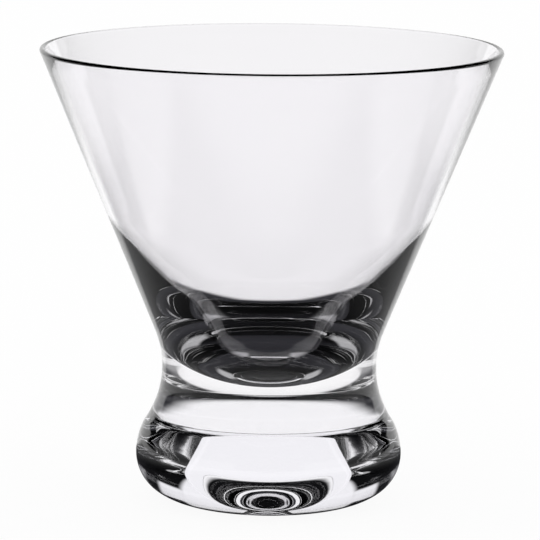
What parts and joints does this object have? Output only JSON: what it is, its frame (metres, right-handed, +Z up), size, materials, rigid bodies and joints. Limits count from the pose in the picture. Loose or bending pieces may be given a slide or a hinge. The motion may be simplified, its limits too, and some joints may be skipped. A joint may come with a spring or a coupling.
{
  "type": "stemless cocktail glass",
  "caption": "Clear cocktail glass with a straight conical bowl, a drawn-in waist and a heavy round foot, hot-fused together; holds a short mixed drink.",
  "frame": {"origin": "on the axis, in the plane of the underside that meets the table", "axes": "+Z up along the axis of revolution, towards the lip"},
  "size_m": [0.106, 0.106, 0.105],
  "materials": {
    "blown_glass": "clear blown soda-lime glass, fire-polished lip",
    "pressed_glass": "clear pressed soda-lime glass, fire-polished"
  },
  "bodies": {
    "root": {"bowl": "blown_glass", "foot": "pressed_glass"}
  },
  "joints": []
}
